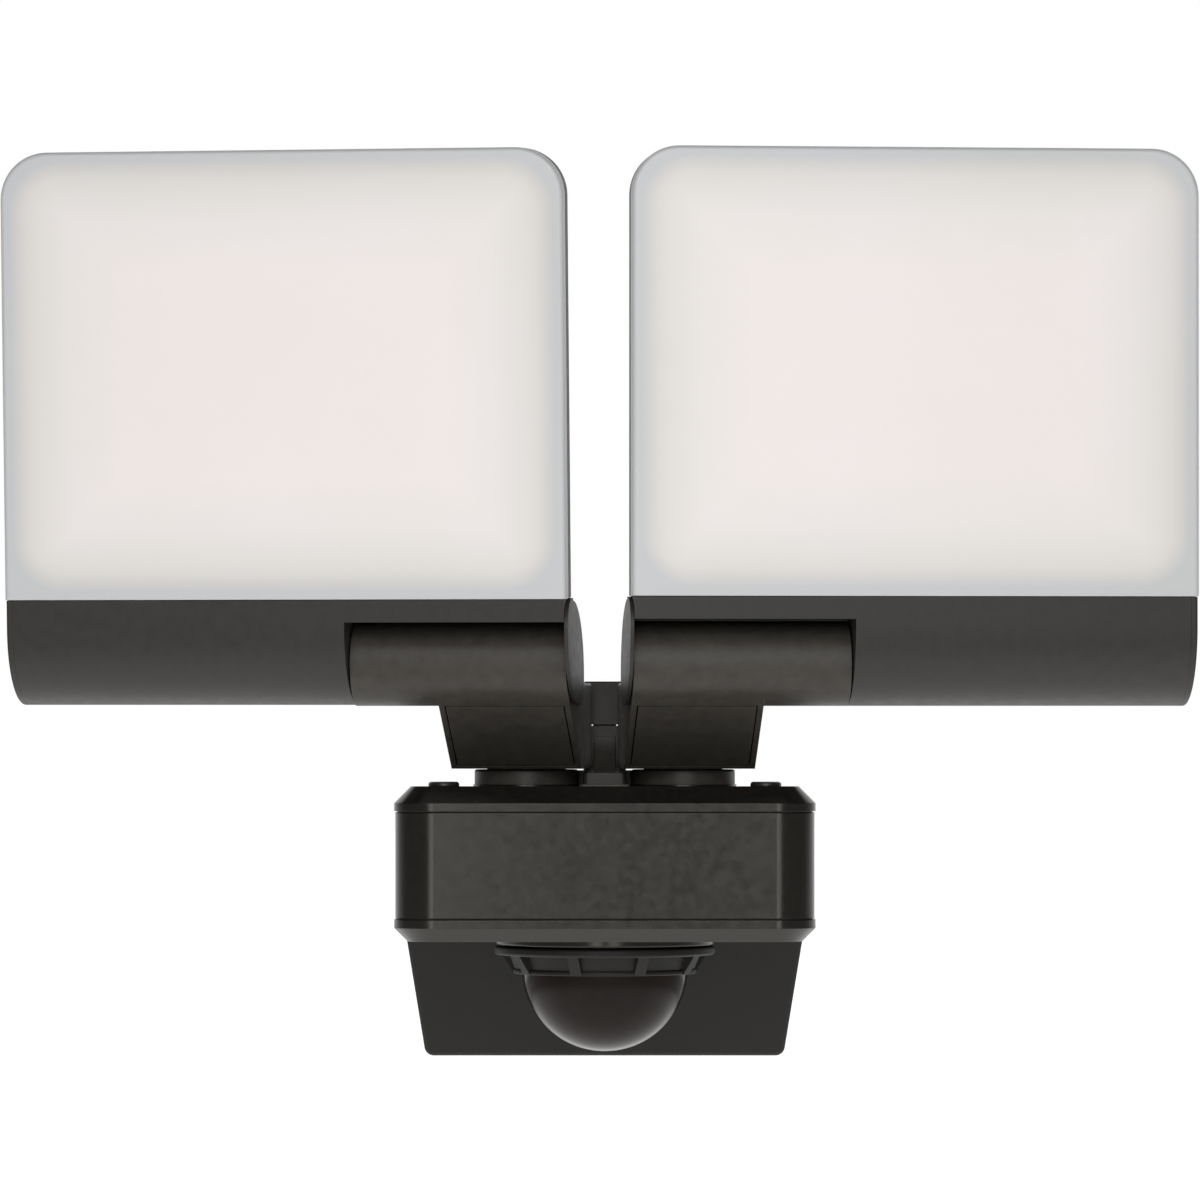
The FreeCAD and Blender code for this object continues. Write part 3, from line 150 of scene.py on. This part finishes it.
# Drawn nickel-silver can of the sensor.
NICKEL_CAN = moulded("Drawn_nickel_silver", "#b8b0a0", "#c4bdae", 0.5, (0.25, 0.35), edge=0.1,
                     surface={"Metallic": 1.0})
# Yellow phosphor over the light chips.
PHOSPHOR = moulded("Yellow_phosphor", "#d9a83a", "#e6bc55", 0.3, (0.5, 0.6), edge=0)
# Grey polyamide of the terminal block.
GREY_POLYAMIDE = moulded("Grey_polyamide", "#8b8b86", "#989892", 0.4, (0.45, 0.55), edge=0.15)


def smoked_dome():
    """Smoked polycarbonate: glossy, nearly opaque, with a brown tint in depth."""
    material, tree, shader = finish("Smoked_polycarbonate", {
        "IOR": 1.58, "Roughness": 0.1, "Specular IOR Level": 0.1})
    place = add(tree, "TexCoord").outputs["Object"]
    coloured_grain(tree, shader, "#120d0a", "#1a120e", 6.0, place)
    return material


SLOT_FINISH = {
    "cast_aluminium": POWDER_COAT,
    "housing_plastic": MOULDED_ABS,
    "seal_rubber": BLACK_RUBBER,
    "zinc_steel": ZINC_STEEL,
    "black_screws": BLACK_STEEL,
    "board_green": GREEN_BOARD,
    "board_white": WHITE_BOARD,
    "component_black": BLACK_EPOXY,
    "sensor_metal": NICKEL_CAN,
    "led_yellow": PHOSPHOR,
    "terminal_grey": GREY_POLYAMIDE,
    "lead_black": BLACK_RUBBER,
    "smoked_lens": smoked_dome(),
}

# The necks, arms, arm covers and post take the lighter coat, whose extra brightness is painted light.
OWN_FINISH = {"wall_box": ERODED_ABS, "grip_ring": ERODED_ABS,
              "centre_post": KNUCKLE_COAT_PAINTED_LIGHT, "post_cap": KNUCKLE_COAT_PAINTED_LIGHT}
for side in ("left_", "right_"):
    for piece in ("neck", "arm", "arm_cover"):
        OWN_FINISH[side + piece] = KNUCKLE_COAT_PAINTED_LIGHT
slot_of = {part["node"]: part["material_slot"] for part in frame["record"]["subparts"]}
for name, node in nodes.items():
    if slot_of[name] == "opal_diffuser":
        continue
    node.data.materials.clear()
    node.data.materials.append(OWN_FINISH.get(name, SLOT_FINISH[slot_of[name]]))


def joint(name):
    return next(j for j in frame["joints"] if j["name"] == name)


# ---- Opal covers ----
REST_LEAN = {"left": 3.4, "right": 0.2}    # degrees that each head leans forward at rest
# The cover's grey edge is painted shade: less light comes back through the cover where no board lies behind it.
FRAME_CORNER = 15 * MM                     # corner of the cover's grey edge
EDGE_SHADE_WIDTH = 30 * MM                        # width over which the cover clears from grey to white
PAINTED_EDGE_SHADE = "#bcbdbf"
CENTRE_WHITE = "#e4dddb"
PAINTED_SHADE_STEPS = ((0.15, "#c8c6c4"), (0.23, "#d2cecb"), (0.33, "#d7d3d0"), (0.6, "#dfdad8"))


def inset_from_edge(tree, cover, place, directions):
    """How far a point of the cover lies inside its rounded rectangle, in metres."""
    low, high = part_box(cover.name)
    centre = (low + high) / 2
    here = add(tree, "VectorMath", {"operation": "SUBTRACT", 1: centre}, {0: place}).outputs[0]
    spans = []
    for direction in directions:
        half = max(abs((v.co - centre).dot(direction)) for v in cover.data.vertices)
        along = add(tree, "VectorMath", {"operation": "DOT_PRODUCT", 1: direction}, {0: here}).outputs["Value"]
        distance = add(tree, "Math", {"operation": "ABSOLUTE"}, {0: along}).outputs[0]
        span = add(tree, "Math", {"operation": "SUBTRACT", 1: half - FRAME_CORNER}, {0: distance})
        spans.append(span.outputs[0])
    outside = [add(tree, "Math", {"operation": "MAXIMUM", 1: 0.0}, {0: s}).outputs[0] for s in spans]
    apart = add(tree, "CombineXYZ", {}, {0: outside[0], 1: outside[1]}).outputs[0]
    corner = add(tree, "VectorMath", {"operation": "LENGTH"}, {0: apart}).outputs["Value"]
    nearer = add(tree, "Math", {"operation": "MAXIMUM"}, {0: spans[0], 1: spans[1]}).outputs[0]
    inner = add(tree, "Math", {"operation": "MINIMUM", 1: 0.0}, {0: nearer}).outputs[0]
    total = add(tree, "Math", {"operation": "ADD"}, {0: corner, 1: inner}).outputs[0]
    return add(tree, "Math", {"operation": "SUBTRACT", 0: FRAME_CORNER}, {1: total}).outputs[0]


def opal(side):
    """Opal polycarbonate cover: milky and warm in the middle, with painted shade that greys it towards the edges,
    where no board lies behind it to send light back through.
    """
    cover = nodes[side + "_diffuser"]
    material, tree, shader = finish("Opal_polycarbonate_edge_shade_painted_" + side, {
        "Roughness": 0.42, "IOR": 1.58, "Specular IOR Level": 0.4})
    across = Vector(joint(side + "_tilt")["axis"]).normalized()
    upright = Matrix.Rotation(math.radians(REST_LEAN[side]), 3, across) @ Vector((0, 0, 1))
    place = add(tree, "TexCoord").outputs["Object"]
    inset = inset_from_edge(tree, cover, place, (across, upright))
    depth = add(tree, "MapRange", {"From Min": 0.0, "From Max": EDGE_SHADE_WIDTH}, {"Value": inset})
    # Painted shade: the cover goes from white in the middle to grey at its edge.
    ramp = add(tree, "ValToRGB", {}, {"Fac": depth.outputs[0]})
    stops = ramp.color_ramp.elements
    stops[0].position = 0.08
    stops[0].color = linear(PAINTED_EDGE_SHADE)
    stops[1].position = 1.0
    stops[1].color = linear(CENTRE_WHITE)
    for at, code in PAINTED_SHADE_STEPS:
        stops.new(at).color = linear(code)
    # Faint wide clouds in the resin.
    cloud = add(tree, "TexNoise", {"Scale": per_mm(45.0), "Detail": 2.0}, {"Vector": place})
    patches = add(tree, "MapRange", {"From Min": 0.35, "From Max": 0.65, "To Max": 0.35},
                  {"Value": cloud.outputs["Fac"]})
    milky = add(tree, "Mix", {"data_type": "RGBA", "blend_type": "MULTIPLY", 7: linear("#fbfcf6")},
                {0: patches.outputs[0], 6: ramp.outputs[0]})
    tree.links.new(milky.outputs[2], shader.inputs["Base Color"])
    cover.data.materials.clear()
    cover.data.materials.append(material)


for side in ("left", "right"):
    opal(side)

# ---- Studio ----
CAMERA_PLACE = Vector((-1.22 * MM, -1.8815, 60 * MM))    # between the housing and the light faces
CAMERA_AIM = Vector((-1.22 * MM, -131.5 * MM, 85 * MM))
camera_data = bpy.data.cameras.new("Camera")
camera_data.lens = 210.0
camera_data.sensor_width = 36.0
camera_data.clip_start = 0.05
camera = bpy.data.objects.new("Camera", camera_data)
camera.location = CAMERA_PLACE
camera.rotation_euler = (CAMERA_AIM - CAMERA_PLACE).to_track_quat("-Z", "Y").to_euler()
scene.collection.objects.link(camera)
scene.camera = camera

world = bpy.data.worlds.new("Studio")
world.use_nodes = True
air = world.node_tree
air.nodes.clear()
# A white backdrop behind the lamp, dim studio walls to the sides, and plain white where the view ends.
towards = add(air, "SeparateXYZ", {}, {0: add(air, "TexCoord").outputs["Generated"]})
backdrop = add(air, "MapRange", {"interpolation_type": "SMOOTHSTEP", "From Min": 0.45, "From Max": 0.8,
                                 "To Min": WALL_LIGHT, "To Max": BACKDROP_LIGHT},
               {"Value": towards.outputs["Y"]})
room = add(air, "Background", {"Color": (1, 1, 1, 1)}, {"Strength": backdrop.outputs[0]})
clear = add(air, "Background", {"Color": (1, 1, 1, 1), "Strength": 1.0})
seen = add(air, "LightPath")
both = add(air, "MixShader", {}, {0: seen.outputs["Is Camera Ray"], 1: room.outputs[0], 2: clear.outputs[0]})
add(air, "OutputWorld", {}, {"Surface": both.outputs[0]})
scene.world = world

FLOOR_REACH = 12.0
FLOOR_DROP = 0.16          # the lamp hangs this far above the floor
floor_mesh = bpy.data.meshes.new("Floor")
floor_z = cad_low.z - FLOOR_DROP
floor_corners = [(x * FLOOR_REACH, y * FLOOR_REACH, floor_z) for x, y in ((-1, -1), (1, -1), (1, 1), (-1, 1))]
floor_mesh.from_pydata(floor_corners, [], [(0, 1, 2, 3)])
floor = bpy.data.objects.new("Floor", floor_mesh)
scene.collection.objects.link(floor)
# White studio acrylic, lit from below, with a faint paper tooth.
pale, tree, shader = finish("Lit_white_acrylic", {
    "Roughness": 0.8, "Specular IOR Level": 0.1, "Emission Color": (1, 1, 1, 1)})
ground = add(tree, "TexCoord").outputs["Object"]
coloured_grain(tree, shader, "#f0f0ef", "#f8f8f8", 4.0, ground)
# The floor glows in a pool under the lamp and again far behind it; elsewhere its glow is weaker.
pool = add(tree, "MapRange", {"interpolation_type": "SMOOTHSTEP", "From Min": 0.35, "From Max": 0.75,
                              "To Min": POOL_LIGHT, "To Max": 0.0},
           {"Value": add(tree, "VectorMath", {"operation": "LENGTH"}, {0: ground}).outputs["Value"]})
behind = add(tree, "MapRange", {"interpolation_type": "SMOOTHSTEP", "From Min": 0.7, "From Max": 1.5,
                                "To Min": 0.0, "To Max": FLOOR_LIGHT},
             {"Value": add(tree, "SeparateXYZ", {}, {0: ground}).outputs["Y"]})
bright = add(tree, "Math", {"operation": "ADD"}, {0: pool.outputs[0], 1: behind.outputs[0]})
glow = add(tree, "Math", {"operation": "MAXIMUM", 1: APRON_LIGHT}, {0: bright.outputs[0]})
tree.links.new(glow.outputs[0], shader.inputs["Emission Strength"])
floor_mesh.materials.append(pale)


# ---- Lights ----
def softbox(name, place, aim, width, height, radiance):
    """A rectangular softbox; its power follows from how bright its face is."""
    light = bpy.data.lights.new(name, "AREA")
    light.shape = "RECTANGLE"
    light.size = width
    light.size_y = height
    light.energy = radiance * math.pi * width * height
    box = bpy.data.objects.new(name, light)
    box.location = place
    box.rotation_mode = "QUATERNION"
    box.rotation_quaternion = (Vector(aim) - Vector(place)).to_track_quat("-Z", "Y")
    scene.collection.objects.link(box)


middle = (cad_low + cad_high) / 2
softbox("Strip_left", (-0.30, -2.10, 0.30), middle, 0.36, 1.5, 3.9)
softbox("Strip_right", (0.34, -2.10, 0.30), middle, 0.34, 1.5, 3.5)
softbox("Overhead", (0.0, -1.70, 1.15), middle, 1.8, 0.9, 2.2)
softbox("Front_fill", (0.0, -2.00, 0.62), middle, 0.40, 0.7, 6.0)
